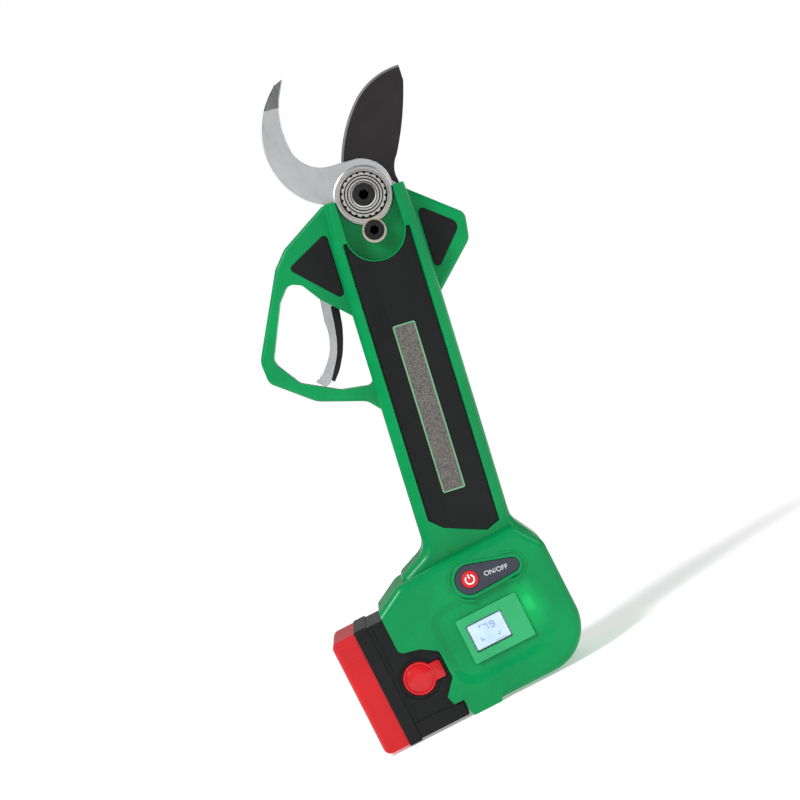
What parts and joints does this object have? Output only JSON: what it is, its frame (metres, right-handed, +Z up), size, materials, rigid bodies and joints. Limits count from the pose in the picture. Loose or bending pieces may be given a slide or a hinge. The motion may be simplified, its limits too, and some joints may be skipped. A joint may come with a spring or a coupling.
{
  "type": "battery electric pruner",
  "caption": "Cordless pruner with a motor-driven bypass blade, guarded trigger, slim handle and slide-out battery pod.",
  "frame": {"origin": "centre of the bounding box in plan, on the surface that the battery pod stands on", "axes": "+Z up through pod, handle and blades; +X away from the battery; the display side faces -Y"},
  "size_m": [0.1475, 0.056, 0.2964],
  "materials": {
    "green_shell": "moulded, glossy",
    "grip_black": "fine texture",
    "label_grey": "speckled",
    "hook_steel": "satin ground",
    "blade_coated": "dark coating, ground edge",
    "gear_steel": "machined",
    "pin_steel": "ground",
    "screw_steel": "plated",
    "bronze": "sintered",
    "bolt_black": "black oxide",
    "nut_steel": "turned",
    "zinc_plate": "zinc plated",
    "motor_steel": "plated",
    "inner_plastic": "moulded",
    "lead_cover": "insulation",
    "board_green": "solder mask",
    "trigger_chrome": "polished",
    "bezel_green": "satin",
    "window_clear": "clear",
    "screen_light": "lit",
    "light_green": "lit",
    "panel_grey": "film",
    "power_red": "lit ring",
    "case_black": "fine texture",
    "cap_red": "moulded",
    "button_red": "moulded",
    "cell_wrap": "shrink wrap",
    "brass_contact": "plated"
  },
  "bodies": {
    "housing": {"front_housing": "green_shell", "rear_housing": "green_shell", "housing_screws": "screw_steel", "front_grip": "grip_black", "rear_grip": "grip_black", "label_plate": "label_grey", "front_left_insert": "grip_black", "front_right_insert": "grip_black", "rear_left_insert": "grip_black", "rear_right_insert": "grip_black", "hook_blade": "hook_steel", "thrust_washer": "pin_steel", "pivot_bolt": "bolt_black", "lock_nut": "nut_steel", "lock_plate": "zinc_plate", "lock_plate_screw": "bolt_black", "pinion_bearing": "pin_steel", "gearbox": "gear_steel", "motor_can": "motor_steel", "motor_end_bell": "inner_plastic", "motor_leads": "lead_cover", "controller_board": "board_green", "trigger_pin": "pin_steel", "trigger_switch": "inner_plastic", "display_bezel": "bezel_green", "display_window": "window_clear", "display_screen": "screen_light", "display_board": "board_green", "status_light": "light_green", "power_panel": "panel_grey", "battery_cradle": "inner_plastic", "power_terminals": "brass_contact", "terminal_block": "inner_plastic"},
    "blade": {"cutting_blade": "blade_coated", "sector_gear": "gear_steel", "drive_pins": "pin_steel", "pivot_bush": "bronze"},
    "pinion": {"drive_pinion": "gear_steel"},
    "trigger": {"trigger_lever": "trigger_chrome"},
    "power_key": {"power_button": "power_red"},
    "battery": {"battery_case": "case_black", "battery_end_cap": "cap_red", "battery_cells": "cell_wrap", "cell_holders": "inner_plastic", "protection_board": "board_green"},
    "front_release": {"front_release_button": "button_red"},
    "rear_release": {"rear_release_button": "button_red"}
  },
  "joints": [
    {"name": "blade_swing", "type": "hinge", "parent": "housing", "child": "blade", "pos_m": [0.03247, 0, 0.23254], "axis": [0, -1, 0], "range_deg": [0, 52]},
    {"name": "pinion_spin", "type": "hinge", "parent": "housing", "child": "pinion", "pos_m": [0.02835, 0.0055, 0.2089], "axis": [0.1719, 0, 0.9851], "range_deg": [-2, 314]},
    {"name": "trigger_pull", "type": "hinge", "parent": "housing", "child": "trigger", "pos_m": [-0.00078, 0, 0.20484], "axis": [0, -1, 0], "range_deg": [0, 13], "stiffness_Nm_per_rad": 0.6, "springref_deg": -8.59},
    {"name": "power_press", "type": "slide", "parent": "housing", "child": "power_key", "axis": [0, 1, 0], "range_m": [0, 0.0006], "stiffness_N_per_m": 900, "springref_m": -0.0006},
    {"name": "battery_slide", "type": "slide", "parent": "housing", "child": "battery", "axis": [-1, 0, 0], "range_m": [0, 0.062]},
    {"name": "front_release_press", "type": "slide", "parent": "battery", "child": "front_release", "axis": [0, 1, 0], "range_m": [0, 0.0015], "stiffness_N_per_m": 700, "springref_m": -0.001},
    {"name": "rear_release_press", "type": "slide", "parent": "battery", "child": "rear_release", "axis": [0, -1, 0], "range_m": [0, 0.0015], "stiffness_N_per_m": 700, "springref_m": -0.001}
  ],
  "couplings": [
    {"joint": "pinion_spin", "follows": "blade_swing", "ratio": 6}
  ]
}
